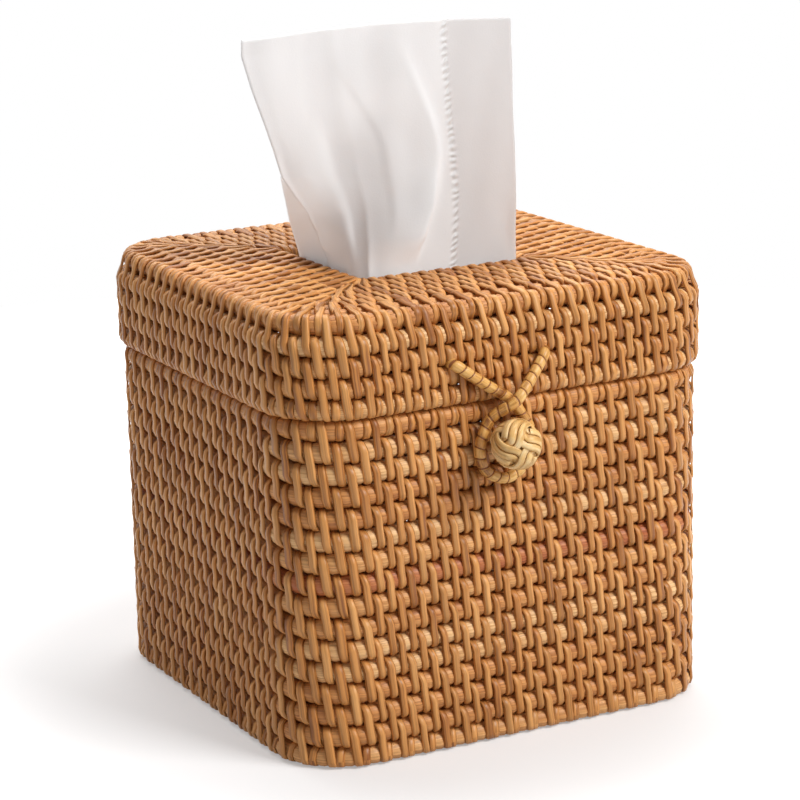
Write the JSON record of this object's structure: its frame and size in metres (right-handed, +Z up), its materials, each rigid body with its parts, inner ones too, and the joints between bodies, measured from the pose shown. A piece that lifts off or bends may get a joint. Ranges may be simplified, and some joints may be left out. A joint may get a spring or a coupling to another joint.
{
  "type": "tissue box cover",
  "caption": "Square cane basket cover for a cube tissue box, with an open top, a lid hinged at the back and a loop that hooks over a knot.",
  "frame": {"origin": "middle of the base, on the surface that the cover stands on", "axes": "+Z up, -Y out of the front with the knot, +X to the right seen from the front"},
  "size_m": [0.15, 0.1682, 0.2145],
  "materials": {
    "case_rods": "honey-brown cane, satin",
    "dark_rod": "reddish-brown cane, satin",
    "floor_rods": "tan cane, satin",
    "lid_rods": "honey-brown cane, satin",
    "lashing_cane": "split cane, satin",
    "loop_cane": "golden split cane, satin",
    "knot_cane": "pale straw cane, satin",
    "tissue_paper": "soft white tissue, matt"
  },
  "bodies": {
    "case": {"case_wall_row_01": "case_rods", "case_wall_row_02": "case_rods", "case_wall_row_03": "case_rods", "case_wall_row_04": "case_rods", "case_wall_row_05": "case_rods", "case_wall_row_06": "case_rods", "case_wall_row_07": "case_rods", "case_wall_row_08": "dark_rod", "case_wall_row_09": "case_rods", "case_wall_row_10": "case_rods", "case_wall_row_11": "case_rods", "case_wall_row_12": "case_rods", "case_wall_row_13": "case_rods", "case_wall_row_14": "case_rods", "case_wall_row_15": "case_rods", "case_wall_row_16": "case_rods", "case_floor_row_01": "floor_rods", "case_floor_row_02": "floor_rods", "case_floor_row_03": "floor_rods", "case_floor_row_04": "floor_rods", "case_floor_row_05": "floor_rods", "case_floor_row_06": "floor_rods", "case_floor_row_07": "floor_rods", "case_floor_row_08": "floor_rods", "case_floor_row_09": "floor_rods", "case_floor_start": "floor_rods", "knot_button": "knot_cane"},
    "lid": {"lid_wall_row_01": "lid_rods", "lid_wall_row_02": "lid_rods", "lid_wall_row_03": "lid_rods", "lid_wall_row_04": "lid_rods", "lid_wall_row_05": "lid_rods", "lid_top_row_01": "lid_rods", "lid_top_row_02": "lid_rods", "lid_top_row_03": "lid_rods", "lid_top_row_04": "lid_rods", "lid_top_row_05": "lid_rods", "lid_top_row_06": "lid_rods", "closure_loop": "loop_cane", "hinge_lashing_left": "lashing_cane", "hinge_lashing_right": "lashing_cane"},
    "tissue": {"tissue_sheet": "tissue_paper"}
  },
  "joints": [
    {"name": "lid_hinge", "type": "hinge", "parent": "case", "child": "lid", "pos_m": [0, 0.076, 0.1085], "axis": [-1, 0, 0], "range_deg": [0, 105], "deforming": ["closure_loop", "hinge_lashing_left", "hinge_lashing_right"]},
    {"name": "tissue_pull", "type": "slide", "parent": "lid", "child": "tissue", "axis": [0, 0, 1], "range_m": [0, 0.06]}
  ]
}
